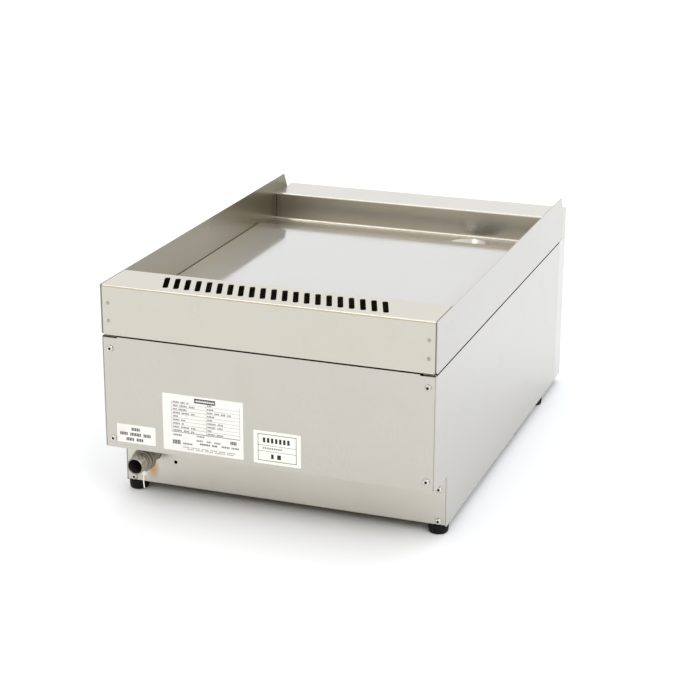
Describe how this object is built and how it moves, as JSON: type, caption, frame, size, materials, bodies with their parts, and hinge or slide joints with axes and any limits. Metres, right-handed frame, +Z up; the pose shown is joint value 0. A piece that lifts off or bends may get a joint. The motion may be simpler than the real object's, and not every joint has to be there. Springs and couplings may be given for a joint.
{
  "type": "flat top griddle",
  "caption": "Countertop gas flat top griddle in stainless sheet: polished plate with splash guards, slotted rear flue cap, grease trough, drawer, knob and gas inlet.",
  "frame": {"origin": "on the worktop, under the middle of the whole object's box", "axes": "+Z up, operator stands at -Y facing +Y, +X is the operator's right"},
  "size_m": [0.4, 0.6338, 0.27],
  "materials": {
    "stainless_sheet": "brushed stainless sheet",
    "polished_plate": "mirror polished cooking plate",
    "inner_steel": "plain mill finish sheet",
    "flue_steel": "heat-stained liner sheet",
    "burner_steel": "heat-tinted burner tube",
    "spout_steel": "smooth stainless",
    "fastener_steel": "bright fasteners",
    "gasket_black": "dark sealing strip",
    "foot_rubber": "moulded rubber",
    "label_white": "white film label",
    "inlet_steel": "dull plated steel",
    "tie_plastic": "milky plastic",
    "copper": "copper tube",
    "thermocouple_copper": "copper sheathed probe",
    "brass": "machined brass",
    "ceramic": "white ceramic",
    "lead_red": "silicone lead",
    "knob_black": "black moulded knob",
    "bezel": "satin bezel",
    "igniter_plastic": "black plastic",
    "button_red": "red push button",
    "handle_steel": "polished bar"
  },
  "bodies": {
    "root": {"rear_flue_cap": "stainless_sheet", "splash_guard_left": "stainless_sheet", "splash_guard_right": "stainless_sheet", "front_rail": "stainless_sheet", "side_panel_left": "stainless_sheet", "side_panel_right": "stainless_sheet", "rear_panel": "stainless_sheet", "base_rear_panel": "stainless_sheet", "front_panel": "stainless_sheet", "griddle_plate": "polished_plate", "plate_support_left": "inner_steel", "plate_support_right": "inner_steel", "overhang_floor": "inner_steel", "bottom_tray": "inner_steel", "heat_shield_floor": "inner_steel", "drawer_runners": "inner_steel", "valve_bracket": "inner_steel", "burner_brackets": "inner_steel", "injector_holder": "inner_steel", "flue_box": "flue_steel", "firebox_left_wall": "flue_steel", "firebox_right_wall": "flue_steel", "firebox_front_wall": "flue_steel", "firebox_rear_wall": "flue_steel", "burner": "burner_steel", "drain_spout": "spout_steel", "cap_rivets": "fastener_steel", "rear_panel_screws": "fastener_steel", "base_panel_screws": "fastener_steel", "foot_screws": "fastener_steel", "top_gasket": "gasket_black", "foot_rear_left": "foot_rubber", "foot_rear_right": "foot_rubber", "foot_front_left": "foot_rubber", "foot_front_right": "foot_rubber", "gas_label": "label_white", "rating_plate": "label_white", "inspection_label": "label_white", "gas_inlet_pipe": "inlet_steel", "inlet_lock_nut": "inlet_steel", "inlet_cable_tie": "tie_plastic", "gas_supply_tube": "copper", "burner_feed_tube": "copper", "pilot_tube": "copper", "thermocouple": "thermocouple_copper", "injector": "brass", "pilot_burner": "brass", "gas_valve": "brass", "ignition_electrode": "ceramic", "ignition_lead": "lead_red", "knob_bezel": "bezel", "igniter_body": "igniter_plastic", "igniter_nut": "igniter_plastic"},
    "valve_core": {"valve_plunger": "brass"},
    "knob": {"valve_spindle": "brass", "control_knob": "knob_black"},
    "igniter_push_button": {"igniter_button": "button_red"},
    "drawer": {"grease_drawer": "spout_steel", "drawer_front": "stainless_sheet", "drawer_handle": "handle_steel"}
  },
  "joints": [
    {"name": "valve_push", "type": "slide", "parent": "root", "child": "valve_core", "axis": [0, 1, 0], "range_m": [0, 0.004], "stiffness_N_per_m": 900},
    {"name": "knob_turn", "type": "hinge", "parent": "valve_core", "child": "knob", "pos_m": [0.11, -0.2969, 0.14], "axis": [0, -1, 0], "range_deg": [0, 180]},
    {"name": "igniter_push", "type": "slide", "parent": "root", "child": "igniter_push_button", "axis": [0, 1, 0], "range_m": [0, 0.005], "stiffness_N_per_m": 600},
    {"name": "drawer_slide", "type": "slide", "parent": "root", "child": "drawer", "axis": [0, -1, 0], "range_m": [0, 0.27]}
  ]
}
